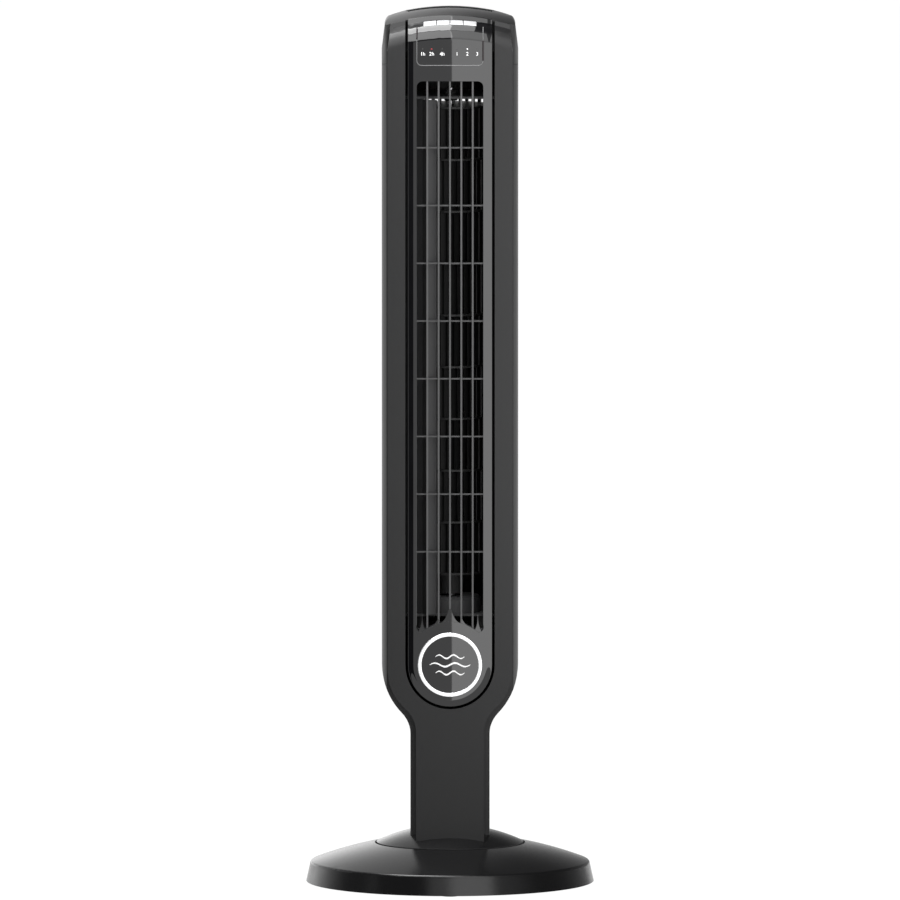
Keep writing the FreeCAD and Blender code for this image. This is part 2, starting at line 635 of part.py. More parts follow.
# ---------------------------------------------------------------- rear half of the tower
rear_outer = rear_form("rear_outer", "0", "-part_line", "tower_bottom")
rear_inner = rear_form("rear_inner", "wall", "-part_line + wall")
front_opening = front_form("front_opening", "seam", "-part_line + wall + 1")
handle_well = box("handle_well", ("-handle_half", "handle_front", "handle_floor"),
                  ("handle_half", "handle_back", "tower_height + 10"))
handle_gap = box("handle_gap", ("-handle_half", "handle_front", "handle_floor"),
                 ("handle_half", "rear_half + 10", "handle_under"))
intake_span = "rear_half * 2 * sin(intake_half_angle * 1 deg)"
intake_front = "(rear_centre + rear_half * cos(intake_half_angle * 1 deg))"
intake_window = box("intake_window", (f"-({intake_span}) / 2", intake_front, "intake_bottom"),
                    (f"({intake_span}) / 2", "rear_half + 10", "intake_top"))
rear_shell = cut("rear_shell", rear_outer, rear_inner, front_opening,
                 fuse("handle_space", handle_well, handle_gap), intake_window)
above_seam = box("above_seam", ("-90", "-60", "cover_seam"), ("90", "90", "tower_height + 10"))
above_lip = box("above_lip", ("-90", "-60", "cover_seam - seam / 8"),
                ("90", "90", "tower_height + 10"))
seam_band = box("seam_band", ("-90", "-60", "cover_seam - seam"), ("90", "90", "cover_seam"))
seam_groove = cut("seam_groove", seam_band,
                  rear_form("seam_core", "wall / 2", "-part_line - 1"))
housing = keep("rear_housing", cut("housing", rear_shell, above_lip, seam_groove))
top_cover = keep("top_cover", common("cover", rear_shell, above_seam))

tray_outer = fuse("tray_outer",
                  box("tray_low", ("-handle_half", "handle_front", "handle_floor"),
                      ("handle_half", "rear_half + rear_centre - 4", "handle_under")),
                  box("tray_high", ("-handle_half", "handle_front", "handle_floor"),
                      ("handle_half", "handle_back", "tower_height - 5")))
tray_inner = fuse("tray_inner",
                  box("tray_hollow", ("-handle_half + 2", "handle_front + 2", "handle_floor + 2"),
                      ("handle_half - 2", "rear_half + 10", "handle_under - 2")),
                  box("tray_mouth", ("-handle_half + 2", "handle_front + 2", "handle_floor + 2"),
                      ("handle_half - 2", "handle_back - 2", "tower_height + 10")))
tray = keep("handle_tray", common("tray", cut("tray_shell", tray_outer, tray_inner),
                                  rear_form("tray_form", "0.5", "-part_line")))

# intake grille: bars that stand on the round back, tied by level rings
back_tube = cut("back_tube",
                cylinder("back_outside", "0", "rear_centre", "intake_bottom + 0.3",
                         "intake_top - 0.3", "rear_half"),
                cylinder("back_inside", "0", "rear_centre", "intake_bottom - 1",
                         "intake_top + 1", "rear_half - 2.5"))
intake_limit = box("intake_limit",
                   (f"-({intake_span}) / 2 + 0.3", f"{intake_front} + 0.3", "intake_bottom"),
                   (f"({intake_span}) / 2 - 0.3", "rear_half + 10", "intake_top"))
slot_count = 19
slots = []
for number in range(slot_count):
    angle = 90 + (number - (slot_count - 1) / 2) * 5.8
    for level in range(9):
        slot = box(f"slot_{number}_{level}", ("rear_half - 12", "-1.9", "intake_bottom + 4.5"),
                   ("rear_half + 8", "1.9", "intake_bottom + level_pitch"))
        turn = Rotation(Vector(0, 0, 1), angle)
        slot.Placement = Placement(Vector(0, 0, 0), turn)
        for axis, formula in (("x", f"(rear_half - 12) * cos({angle} * 1 deg)"
                                    f" + 1.9 * sin({angle} * 1 deg)"),
                              ("y", f"rear_centre + (rear_half - 12) * sin({angle} * 1 deg)"
                                    f" - 1.9 * cos({angle} * 1 deg)"),
                              ("z", f"intake_bottom + 4.5 + {level} * level_pitch")):
            slot.setExpression(f"Placement.Base.{axis}", bound(formula))
        slots.append(slot)
doc.recompute()
slot_group = doc.addObject("Part::Feature", "slot_group")
slot_group.Shape = Part.makeCompound([slot.Shape for slot in slots])
intake = keep("intake_grille", cut("intake", common("back_panel", back_tube, intake_limit),
                                   slot_group))

# ---------------------------------------------------------------- air duct
duct_end = rear_form("duct_form", "wall + 0.3", "-part_line + wall + 0.3")
duct_end_top = common("duct_end_top", duct_end,
                      box("duct_top_block", ("-80", "-40", "duct_top"),
                          ("80", "80", "duct_top + 2.5")))
duct_end_low = common("duct_end_low", duct_end,
                      box("duct_low_block", ("-80", "-40", "duct_bottom - 2.5"),
                          ("80", "80", "duct_bottom")))
bearing_hole = cylinder("bearing_hole", "impeller_x", "impeller_y", "duct_top - 5",
                        "duct_top + 10", "7")
boss_hole = cylinder("boss_hole", "impeller_x", "impeller_y", "duct_bottom - 10",
                     "duct_bottom + 10", "boss_radius + 1")
lead_notch = box("lead_notch", ("-72", "-20.4", "duct_bottom - 5"), ("-64.2", "-7.6", "duct_top + 5"))
top_plate = keep("duct_top_plate", cut("top_plate", duct_end_top, bearing_hole, lead_notch))
cup = turned("cup", [
    ("boss_radius + 1", "duct_bottom - 0.1"), ("cup_radius", "duct_bottom - 0.1"),
    ("cup_radius", "cup_top - cup_corner"), ("cup_radius - cup_corner", "cup_top"),
    ("boss_radius + 1", "cup_top")])
place(cup, "impeller_x", "impeller_y", "0")
low_plate = keep("duct_bottom_plate", fuse(
    "low_plate", cut("low_slab", duct_end_low, boss_hole, lead_notch), cup))

scroll_outer = "(impeller_radius + 8)"


def on_scroll(radius, angle):
    return (f"impeller_x + ({radius}) * cos({angle} * 1 deg)",
            f"impeller_y + ({radius}) * sin({angle} * 1 deg)")


scroll = keep("scroll_wall", slab("scroll", "duct_bottom + 0.2", "duct_top - 0.2", [
    on_scroll(scroll_outer, -46), through(*on_scroll(f"{scroll_outer} + 0.5", -10)),
    on_scroll(f"{scroll_outer} + 3", 30),
    on_scroll(f"{scroll_outer} + 3 + duct_wall", 30),
    through(*on_scroll(f"{scroll_outer} + 0.5 + duct_wall", -10)),
    on_scroll(f"{scroll_outer} + duct_wall", -46),
    ("opening_half + 3", "-front_depth + 9.6"), ("opening_half + 1", "-front_depth + 9.6")]))
tongue = keep("cutoff_wall", slab("tongue", "duct_bottom + 0.2", "duct_top - 0.2", [
    ("-24", "-40.5"), ("-15", "-39.5"), through("-13.6", "-38.3"), ("-15", "-37.2"),
    ("-22.4", "-36.6"), ("-27", "-27.5"), ("-49", "-8"), ("-50.6", "-9.6"), ("-28.8", "-29")]))

# ---------------------------------------------------------------- impeller
blade_inner = value("impeller_radius - disc_rim")
blade_outer = value("impeller_radius - 0.4")
thick = value("blade_thickness")
blade_low = value("impeller_bottom")
rise = value("impeller_top - impeller_bottom")


def blade_point(radius, lag, shift):
    turn = math.radians(lag)
    return Vector(radius * math.cos(turn), radius * math.sin(turn) + shift, blade_low)


middle_radius = (blade_inner + blade_outer) / 2
blade_edges = [
    Part.Arc(blade_point(blade_inner, 6, 0), blade_point(middle_radius, 1, 0),
             blade_point(blade_outer, 4, 0)).toShape(),
    Part.LineSegment(blade_point(blade_outer, 4, 0), blade_point(blade_outer, 4, thick)).toShape(),
    Part.Arc(blade_point(blade_outer, 4, thick), blade_point(middle_radius, 1, thick),
             blade_point(blade_inner, 6, thick)).toShape(),
    Part.LineSegment(blade_point(blade_inner, 6, thick), blade_point(blade_inner, 6, 0)).toShape()]
blade_solid = Part.Face(Part.Wire(blade_edges)).extrude(Vector(0, 0, rise))
centre = Vector(value("impeller_x"), value("impeller_y"), 0)
blades = []
blade_total = int(value("blade_count"))
for number in range(blade_total):
    blade = blade_solid.copy()
    blade.rotate(Vector(0, 0, 0), Vector(0, 0, 1), 360 / blade_total * number)
    blade.translate(centre)
    blades.append(blade)
discs = []
sections = int(value("section_count"))
disc_step = (rise - value("disc_thickness")) / sections
for number in range(sections + 1):
    disc = Part.makeCylinder(value("impeller_radius"), value("disc_thickness"),
                             centre + Vector(0, 0, blade_low + disc_step * number))
    if number not in (0, sections):
        disc = disc.cut(Part.makeCylinder(blade_inner, 10,
                                          centre + Vector(0, 0, blade_low + disc_step * number - 4)))
    discs.append(disc)
wheel = doc.addObject("Part::Feature", "wheel")
wheel.Shape = discs[0].multiFuse(discs[1:] + blades)
hub_bore = cylinder("hub_bore", "impeller_x", "impeller_y", "impeller_bottom - 1",
                    "impeller_bottom + 12", "shaft_bore")
pin_bore = cylinder("pin_bore", "impeller_x", "impeller_y", "impeller_top - 12",
                    "impeller_top + 1", "pin_radius")
impeller = keep("impeller", cut("impeller_wheel", wheel, hub_bore, pin_bore))
hub = keep("impeller_hub", cut("hub", fuse(
    "hub_body", cylinder("hub_low", "impeller_x", "impeller_y", "cup_top + 2",
                         "impeller_bottom", "boss_radius"),
    cylinder("hub_high", "impeller_x", "impeller_y", "impeller_bottom - 2",
             "impeller_bottom + 2", "shaft_bore")),
    cylinder("hub_hole", "impeller_x", "impeller_y", "duct_bottom - 20",
             "impeller_bottom + 20", "shaft_radius")))
top_pin = keep("top_pin", cylinder("pin", "impeller_x", "impeller_y", "impeller_top - 2",
                                   "duct_top + 9", "pin_radius"))
upper_bearing = keep("upper_bearing", ring("upper", "impeller_x", "impeller_y", "duct_top - 4",
                                           "duct_top + 7", "6.9", "pin_radius + running_gap"))
rotor = keep("motor_rotor", fuse(
    "rotor", cylinder("shaft", "impeller_x", "impeller_y", "motor_bottom + 3",
                      "impeller_bottom + 1", "shaft_radius"),
    cylinder("rotor_core", "impeller_x", "impeller_y", "motor_bottom + 14",
             "motor_top - 14", "rotor_radius")))

# ---------------------------------------------------------------- fan motor and electrics
can = cut("can", cylinder("can_outside", "impeller_x", "impeller_y", "motor_bottom", "motor_top",
                          "motor_radius"),
          cylinder("can_inside", "impeller_x", "impeller_y", "motor_bottom + 2.5",
                   "motor_top - 2.5", "motor_radius - case_wall"),
          cylinder("can_hole", "impeller_x", "impeller_y", "motor_bottom - 1",
                   "motor_top + 1", "shaft_radius + running_gap"))
motor_case = keep("motor_case", can)
stator = keep("motor_stator", ring(
    "stator", "impeller_x", "impeller_y", "motor_bottom + winding_inset",
    "motor_top - winding_inset", "motor_radius - case_wall", "rotor_radius + stator_gap"))
bracket_ring = ring("bracket_ring", "impeller_x", "impeller_y", "motor_top",
                    "motor_top + bracket_thickness", "motor_radius + 9", "16")
keep("motor_bracket", bracket_ring)
grommet = cylinder("grommet", "impeller_x", "impeller_y", "motor_top + bracket_thickness",
                   "duct_bottom - 2.5", "grommet_radius")
keep("motor_mounts", scattered("grommets", grommet, on_circle("grommet_circle", 3, "0", 90)))
capacitor = keep("run_capacitor", box(
    "capacitor", ("-20", "-34", "capacitor_low"), ("20", "-14", "capacitor_high")))
junction = keep("wiring_block", box("junction", ("-22", "-26", "104"), ("18", "-14", "122")))
keep("motor_lead", cylinder("lead", "-2", "-20", "122", "capacitor_low",
                                      "lead_radius"))
keep("control_lead", box("ribbon", ("-66", "-20", "244"), ("-64.5", "-8", "866")))
foot_block = common("neck_foot_block", rear_form("foot_form", "wall + 0.1", "-part_line + wall"),
                    box("foot_slab", ("-60", "-60", plate_height), ("60", "80",
                                                                    f"{plate_height} + 4")))
neck_foot = keep("neck_foot", cut("neck_foot_cut", foot_block,
                                  cylinder("foot_bore", "0", "0", "30", "60", "pivot_bore"),
                                  cylinder("foot_motor_room", "0", pinion_y, "30", "70", "17.5")))
neck_screw = cylinder("neck_screw", "0", "0", "turntable_bottom - 2", "turntable_bottom", "3.5")
neck_screws = keep("neck_screws", scattered("neck_screw_group", neck_screw, [
    ("30", "-18", "0"), ("-30", "-18", "0"), ("30", "30", "0"), ("-30", "30", "0")]))
case_screw = lying_cylinder("case_screw", "0", "0", "-part_line + wall", "-part_line + 10", "2.6")
keep("housing_screws", scattered("case_screw_group", case_screw, [
    (x, "0", z) for x in ("60", "-60") for z in ("260", "420", "580", "740", "846")]))

# ---------------------------------------------------------------- checks and files
doc.recompute()
for thing in doc.Objects:
    if "Invalid" in thing.State or "Error" in thing.State:
        raise RuntimeError(f"{thing.Label} failed: {thing.State}")
os.makedirs("parts", exist_ok=True)
for name, thing in NODES.items():
    shape = thing.Shape
    if shape.isNull() or not shape.isValid() or not shape.Solids:
        raise RuntimeError(f"{name} has no valid solid")
    shape.exportStep(f"parts/{name}.step")
    limits = shape.BoundBox
    print(f"{name}: {len(shape.Solids)} solids, {shape.Volume / 1000:.1f} cm3, "
          f"z {limits.ZMin:.1f} to {limits.ZMax:.1f}, y {limits.YMin:.1f} to {limits.YMax:.1f}")
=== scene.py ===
import bpy
import math
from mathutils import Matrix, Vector


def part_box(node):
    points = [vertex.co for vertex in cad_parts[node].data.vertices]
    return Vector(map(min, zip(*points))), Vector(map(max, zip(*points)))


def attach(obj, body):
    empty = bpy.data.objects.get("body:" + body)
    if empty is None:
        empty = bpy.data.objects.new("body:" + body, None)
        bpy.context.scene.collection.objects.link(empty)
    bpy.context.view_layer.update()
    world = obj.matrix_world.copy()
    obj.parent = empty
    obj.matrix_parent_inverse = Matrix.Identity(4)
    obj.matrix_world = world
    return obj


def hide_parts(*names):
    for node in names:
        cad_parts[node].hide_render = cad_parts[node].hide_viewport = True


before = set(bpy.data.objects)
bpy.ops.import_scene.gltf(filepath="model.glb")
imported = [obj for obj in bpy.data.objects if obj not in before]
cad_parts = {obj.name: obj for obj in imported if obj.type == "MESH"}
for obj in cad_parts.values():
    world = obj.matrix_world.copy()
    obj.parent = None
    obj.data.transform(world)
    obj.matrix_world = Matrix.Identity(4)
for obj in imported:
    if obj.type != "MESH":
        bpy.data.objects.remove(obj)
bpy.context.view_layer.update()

# ============================================================ base
# A shallow ABS dome with a satin, finely grained skin, closed below by a painted steel plate
# that screws up into it; a steel ring gives it weight and six rubber feet stand it off the floor.


class Wire:
    """One output of a shader node, so that a pattern reads as a formula in + - and *."""

    def __init__(self, graph, socket):
        self.graph = graph
        self.socket = socket

    def _math(self, operation, *inputs):
        return self.graph.node("ShaderNodeMath", {"operation": operation}, *inputs)

    def __add__(self, other):
        return self._math("ADD", self, other)

    def __sub__(self, other):
        return self._math("SUBTRACT", self, other)

    def __rsub__(self, other):
        return self._math("SUBTRACT", other, self)

    def __mul__(self, other):
        return self._math("MULTIPLY", self, other)

    __radd__ = __add__
    __rmul__ = __mul__


class Graph:
    """A tree of shader nodes, which its node method adds."""

    def __init__(self, tree):
        self.tree = tree

    def node(self, kind, settings, *inputs, output=0):
        """A node of any kind: its settings, then a number or Wire for each of its sockets in
        turn, or (socket, number or Wire)."""
        node = self.tree.nodes.new(kind)
        for name, setting in settings.items():
            setattr(node, name, setting)
        for key, given in enumerate(inputs):
            if isinstance(given, tuple) and len(given) == 2:
                key, given = given
            if isinstance(given, Wire):
                self.tree.links.new(given.socket, node.inputs[key])
            else:
                node.inputs[key].default_value = given
        return Wire(self, node.outputs[output])

    def ramp(self, wire, low, high):
        """0 below low, 1 above high, smooth between; low may be the larger."""
        return self.node("ShaderNodeMapRange", {"interpolation_type": "SMOOTHSTEP"},
                         wire, low, high, 0.0, 1.0)


class Finish(Graph):
    """One procedural material on Object coordinates, which are metres."""

    def __init__(self, name, colour, roughness, **constants):
        self.material = bpy.data.materials.new(name)
        self.material.use_nodes = True
        super().__init__(self.material.node_tree)
        self.colour = colour
        self.shader = self.tree.nodes["Principled BSDF"]
        self.shader.inputs["Base Color"].default_value = (*colour, 1)
        self.shader.inputs["Roughness"].default_value = roughness
        for socket, number in constants.items():
            self.shader.inputs[socket.replace("_", " ")].default_value = number

    def noise(self, scale, stretch=(1, 1, 1), detail=3.0):
        """Cloudy noise, 0 to 1, finer with a larger scale."""
        raw = self.node("ShaderNodeTexCoord", {}, output="Object")
        place = self.node("ShaderNodeMapping", {}, raw, ("Scale", stretch))
        return self.node("ShaderNodeTexNoise", {}, ("Vector", place), ("Scale", scale),
                         ("Detail", detail))

    def set(self, socket, wire):
        """Feeds a socket of the surface."""
        self.tree.links.new(wire.socket, self.shader.inputs[socket])

    def bump(self, height, distance, strength=1.0):
        """Relief, as high as distance in metres."""
        self.set("Normal", self.node("ShaderNodeBump", {}, ("Strength", strength),
                                     ("Distance", distance), ("Height", height)))

    def tint(self, mask, spread):
        """The colour, darker and lighter by a share where the mask is low and high."""
        low = (*(part * (1 - spread) for part in self.colour), 1)
        high = (*(part * (1 + spread) for part in self.colour), 1)
        self.set("Base Color", self.node("ShaderNodeMix", {"data_type": "RGBA"}, (0, mask),
                                         (6, low), (7, high), output=2))


def moulded(name, colour, roughness, grain=0.00004, **constants):
    """Injection-moulded plastic: a fine spark-eroded grain, and faint flow and handling marks."""
    finish = Finish(name, colour, roughness, **constants)
    grains = finish.noise(2600, detail=2.0)
    flow = finish.noise(9, (1, 1, 0.25), detail=4.0)
    finish.bump(grains, grain, 0.6)
    finish.set("Roughness", flow * 0.06 + grains * 0.05 + (roughness - 0.055))
    finish.tint(flow, 0.14)
    return finish.material


def wear(nodes, material):
    """Puts a finish on nodes of the frame."""
    for node in nodes:
        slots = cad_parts[node].data.materials
        slots.clear()
        slots.append(material)


def only(piece):
    """Selects one piece alone, and makes it active."""
    bpy.ops.object.select_all(action="DESELECT")
    piece.select_set(True)
    bpy.context.view_layer.objects.active = piece


def modify(piece, kind, **settings):
    """Adds a modifier and applies it."""
    only(piece)
    modifier = piece.modifiers.new(kind.lower(), kind)
    for name, setting in settings.items():
        setattr(modifier, name, setting)
    bpy.ops.object.modifier_apply(modifier=modifier.name)


def settle(piece, name, body, material):
    """Names a finished piece, bakes its place into its mesh and lets it ride on its body."""
    only(piece)
    bpy.ops.object.transform_apply(location=True, rotation=True, scale=True)
    piece.name = name
    piece.data.materials.clear()
    piece.data.materials.append(material)
    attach(piece, body)


def rounded(piece, chosen, width):
    """Rounds only the edges whose two ends are both chosen, by a test of place."""
    weights = piece.data.attributes.new("bevel_weight_edge", "FLOAT", "EDGE")
    for edge, weight in zip(piece.data.edges, weights.data):
        ends = [piece.data.vertices[number].co for number in edge.vertices]
        weight.value = float(all(chosen(end) for end in ends))
    modify(piece, "BEVEL", width=width, segments=4, limit_method="WEIGHT")


def softened(name, node, body, material, width, wide=None):
    """A part of the frame with small radii along its edges, as its mould gives it; wide is
    the (test, width) of any edges that are rounded further."""
    piece = bpy.data.objects.new(name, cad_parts[node].data.copy())
    bpy.context.scene.collection.objects.link(piece)
    only(piece)
    bpy.ops.object.mode_set(mode="EDIT")
    bpy.ops.mesh.select_all(action="SELECT")
    bpy.ops.mesh.remove_doubles(threshold=0.00002)
    bpy.ops.object.mode_set(mode="OBJECT")
    if wide:
        rounded(piece, *wide)
    modify(piece, "BEVEL", width=width, segments=3, limit_method="ANGLE",
           angle_limit=math.radians(32), miter_outer="MITER_ARC")
    bpy.ops.object.shade_smooth_by_angle(angle=math.radians(30))
    modify(piece, "WEIGHTED_NORMAL", keep_sharp=True, weight=90)
    settle(piece, name, body, material)
    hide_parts(node)


satin_black = moulded("satin_black", (0.006, 0.006, 0.0063), 0.21, Specular_IOR_Level=0.33)
softened("base_dome", "base_shell", "base", satin_black, 0.0009)
wear(["base_plate"], satin_black)
rubber = moulded("rubber", (0.02, 0.02, 0.02), 0.8, 0.0001)
wear(["rubber_feet", "cord_inlet"], rubber)
steel = moulded("plated_steel", (0.55, 0.55, 0.56), 0.3, 0.00001, Metallic=1.0)
wear(["base_screws", "ballast_ring"], steel)
acetal = moulded("natural_acetal", (0.75, 0.74, 0.70), 0.45)
wear(["bearing_ring", "sector_gear", "drive_pinion"], acetal)

# ============================================================ turntable
# The cap is the same satin ABS as the base; it clips over the turning plate and closes round
# the neck, with a thin dark gap where it turns inside the base.
softened("turning_cap", "turntable_cap", "tower", satin_black, 0.0005)
wear(["turntable_plate", "neck_foot", "key_switches"], satin_black)
wear(["retaining_washer", "neck_screws"], steel)
motor_paint = moulded("motor_paint", (0.25, 0.25, 0.26), 0.4, Metallic=0.6)
wear(["swing_motor"], motor_paint)

# ============================================================ tower mouldings
# Front bezel, rear housing and top cover are satin ABS shells that meet in dark parting lines;
# the housing's front edge leans back, so that it catches the light beside the bezel.
tower_satin = moulded("tower_satin", (0.006, 0.006, 0.0063), 0.37, Specular_IOR_Level=0.33)
softened("bezel", "front_bezel", "tower", tower_satin, 0.0016)
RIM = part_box("rear_housing")[0].y
NECK_TOP = 0.170
NECK_SIDE = max(abs(corner.co.x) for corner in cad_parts["rear_housing"].data.vertices
                if corner.co.z < NECK_TOP - 0.02)
softened("back_shell", "rear_housing", "tower", tower_satin, 0.0007,
         wide=(lambda place: (place.y < RIM + 0.0005 and place.z < NECK_TOP
                              and abs(place.x) > NECK_SIDE - 0.0006), 0.0022))
softened("crown", "top_cover", "tower", tower_satin, 0.0016)
wear(["handle_tray", "intake_grille"], tower_satin)
wear(["housing_screws"], steel)

# ============================================================ insert
# The insert is polished ABS: a deep black with a clear gloss and the faint waviness of a
# polished mould, clipped into the bezel's long opening. Its face rolls off to the outline,
# which is straight at the sides and round about the badge.
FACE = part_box("front_insert")[0].y
BADGE = sum(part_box("badge_ring"), Vector()) / 2
ROLL_START = 0.0372
ROLL_END = 0.0440
ROLL_DEPTH = 0.0013


def polished(name):
    """Piano black, with no more than a polished mould's waviness."""
    finish = Finish(name, (0.004, 0.004, 0.0045), 0.015, Specular_IOR_Level=0.58)
    finish.set("Roughness", finish.noise(120, detail=4.0) * 0.012 + 0.008)
    finish.tint(finish.noise(30), 0.3)
    return finish


piano = polished("piano_black")
rolled = polished("piano_black_rolled")
place = rolled.node("ShaderNodeTexCoord", {}, output="Object")
across = rolled.node("ShaderNodeSeparateXYZ", {}, place, output="X")
up = rolled.node("ShaderNodeSeparateXYZ", {}, place, output="Z")
below = rolled.node("ShaderNodeMath", {"operation": "MINIMUM"}, up - BADGE.z, 0.0)
reach = rolled.node("ShaderNodeMath", {"operation": "SQRT"}, across * across + below * below)
rolled.bump(rolled.ramp(reach, ROLL_END, ROLL_START), ROLL_DEPTH)
softened("insert_panel", "front_insert", "tower", rolled.material, 0.0009)

# ============================================================ outlet grille
# Five upright bars with thin louvres behind them, one moulding screwed in behind the insert;
# at the foot the bars spread into webs that run down on to the insert's rounded sill.
grille_black = moulded("grille_black", (0.045, 0.045, 0.046), 0.38)
wear(["outlet_grille"], grille_black)
SILL = 0.045
BAR_PITCH = 0.0118
BAR_HALF = 0.0009
FIN_PLACE = 0.029
FIN_HEIGHT = 0.0165
FIN_TIP = 0.0002
FIN_FOOT = 0.0033
WEB_FRONT = FACE + 0.0008
WEB_BACK = FACE + 0.004


def plate(outline, front, back):
    """A flat plate facing forward, cut to an outline of (x, z), between two depths."""
    bpy.ops.object.select_all(action="DESELECT")
    bpy.ops.mesh.primitive_circle_add(vertices=len(outline), radius=0.01, fill_type="NGON")
    piece = bpy.context.object
    for corner, (x, z) in zip(piece.data.vertices, outline):
        corner.co = (x, front, z)
    bpy.ops.object.mode_set(mode="EDIT")
    bpy.ops.mesh.select_all(action="SELECT")
    bpy.ops.mesh.extrude_region_move(TRANSFORM_OT_translate={"value": (0, back - front, 0)})
    bpy.ops.mesh.select_all(action="SELECT")
    bpy.ops.mesh.normals_make_consistent(inside=False)
    bpy.ops.object.mode_set(mode="OBJECT")
    return piece


def joined(pieces):
    """Several pieces made one."""
    bpy.ops.object.select_all(action="DESELECT")
    for piece in pieces:
        piece.select_set(True)
    bpy.context.view_layer.objects.active = pieces[0]
    bpy.ops.object.join()
    return bpy.context.object


def sill_height(x):
    """Top of the insert's sill, which is round about the badge."""
    return BADGE.z + math.sqrt(SILL ** 2 - x ** 2)


def web(bar, spread, rise, side, steps=8):
    """A concave web between a bar and the sill, on one side of the bar."""
    curve = []
    for step in range(steps + 1):
        share = step / steps
        x = bar + side * (BAR_HALF + spread * share)
        curve.append((x, sill_height(x) + rise * (1 - share) ** 2.6))
    foot = [(bar + side * (BAR_HALF + spread), sill_height(bar + side * spread) - 0.003),
            (bar, sill_height(bar) - 0.003), (bar, curve[0][1])]
    return plate(curve + foot, WEB_FRONT, WEB_BACK)


def fin(x, steps=6):
    """A pointed fin that stands on the sill near its end and widens to its foot."""
    half = [(FIN_TIP + (FIN_FOOT - FIN_TIP) * (step / steps) ** 3,
             FIN_HEIGHT * (1 - step / steps))
            for step in range(steps + 1)]
    low = sill_height(x) + 0.0015
    right = [(x + wide, low + high) for wide, high in half]
    left = [(x - wide, low + high) for wide, high in reversed(half)]
    foot = [(x + FIN_FOOT, low - 0.004), (x - FIN_FOOT, low - 0.004)]
    return plate(right + foot + left, WEB_FRONT, WEB_BACK)


webs = [web(0, 0.0105, 0.0135, side) for side in (-1, 1)]
webs += [web(side * BAR_PITCH, 0.0065, 0.0045, side) for side in (-1, 1)]
webs += [fin(side * FIN_PLACE) for side in (-1, 1)]
settle(joined(webs), "sill_webs", "tower", piano.material)

# ============================================================ badge
# A dished disc in the insert's gloss, framed by a bright metallised ring, with three stylised
# waves of air printed in white.
silver = moulded("silver_trim", (0.86, 0.86, 0.87), 0.25, 0.00001, Metallic=0.85)
softened("badge_rim", "badge_ring", "tower", silver, 0.0007)
wear(["badge_disc"], piano.material)
print_white = moulded("print_white", (0.82, 0.82, 0.82), 0.5, 0.00001)
BADGE_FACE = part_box("badge_disc")[0].y
WAVE_PITCH = 0.0085
WAVE_SWING = 0.0019


def wave(height, length, thick, steps=28):
    """One wave of air, tapering to its ends."""
    upper, lower = [], []
    for step in range(steps + 1):
        share = step / steps
        x = (share - 0.5) * length
        z = height + WAVE_SWING * math.sin(share * 4 * math.pi)
        half = thick / 2 * math.sin(math.pi * (0.06 + 0.88 * share)) ** 0.5
        upper.append((BADGE.x + x, BADGE.z + z + half))
        lower.append((BADGE.x + x, BADGE.z + z - half))
    return plate(lower + upper[::-1], BADGE_FACE - 0.00025, BADGE_FACE + 0.0002)


waves = [wave(WAVE_PITCH, 0.030, 0.0017), wave(0, 0.042, 0.0019),
         wave(-WAVE_PITCH, 0.030, 0.0017)]
settle(joined(waves), "air_waves", "tower", print_white)

# ============================================================ display
# A smoked panel let into the insert above the grille, framed by a fine bead that runs from the
# keys down both sides; behind it the lamps, one lit for the speed and one red for the timer.
smoke = moulded("smoke_lens", (0.01, 0.006, 0.007), 0.08, 0.00001)
wear(["display_lens", "remote_receiver"], smoke)
DISPLAY_HALF = 0.0344
DISPLAY_FOOT = 0.859
CORNER = 0.005
CURVE_START = 0.886
CURVE_RADIUS = 0.0179
LEGEND_FOOT = 0.8694
LEGEND_SIZE = 0.0052
LAMP_HEIGHT = 0.8762


def skin(distance):
    """(y, z) on the insert's face, a distance up along it from the display's foot."""
    straight = CURVE_START - DISPLAY_FOOT
    if distance <= straight:
        return FACE, DISPLAY_FOOT + distance
    turn = min((distance - straight) / CURVE_RADIUS, math.radians(54))
    return (FACE + CURVE_RADIUS * (1 - math.cos(turn)),
            CURVE_START + CURVE_RADIUS * math.sin(turn))


def bead(points, radius):
    """A fine round bead along a line of points."""
    curve = bpy.data.curves.new("bead", "CURVE")
    curve.dimensions = "3D"
    curve.bevel_depth = radius
    curve.bevel_resolution = 3
    curve.use_fill_caps = True
    line = curve.splines.new("POLY")
    line.points.add(len(points) - 1)
    for point, place in zip(line.points, points):
        point.co = (*place, 1)
    piece = bpy.data.objects.new("bead", curve)
    bpy.context.scene.collection.objects.link(piece)
    only(piece)
    bpy.ops.object.convert(target="MESH")
    bpy.ops.object.shade_smooth()
    return piece


rise = [CORNER + step * 0.0015 for step in range(25)]
right = [(DISPLAY_HALF, *skin(distance)) for distance in rise]
corner = [(DISPLAY_HALF - CORNER * (1 - math.cos(turn)),
           *skin(CORNER * (1 - math.sin(turn))))
          for turn in [math.pi / 2 * step / 6 for step in range(1, 7)]]
half_frame = right[::-1] + corner
frame_line = half_frame + [(-x, y, z) for x, y, z in half_frame[::-1]]
trim = moulded("bead_trim", (0.12, 0.12, 0.122), 0.25, 0.00001)
settle(bead(frame_line, 0.00042), "display_bead", "tower", trim)
# Dark smoked strips laid over the bead, up the left side where it curves and along the right
# side: a painted dark reflection, standing for the dark surroundings that the bead mirrors there.
dark_reflection_left = [(-DISPLAY_HALF, *skin(0.027 + step * 0.0015)) for step in range(10)]
dark_reflection_right = [(DISPLAY_HALF, *skin(0.005 + step * 0.0021)) for step in range(11)]
slots = joined([bead(dark_reflection_left, 0.0007), bead(dark_reflection_right, 0.0009)])
settle(slots, "painted_dark_reflection_strips", "tower", smoke)


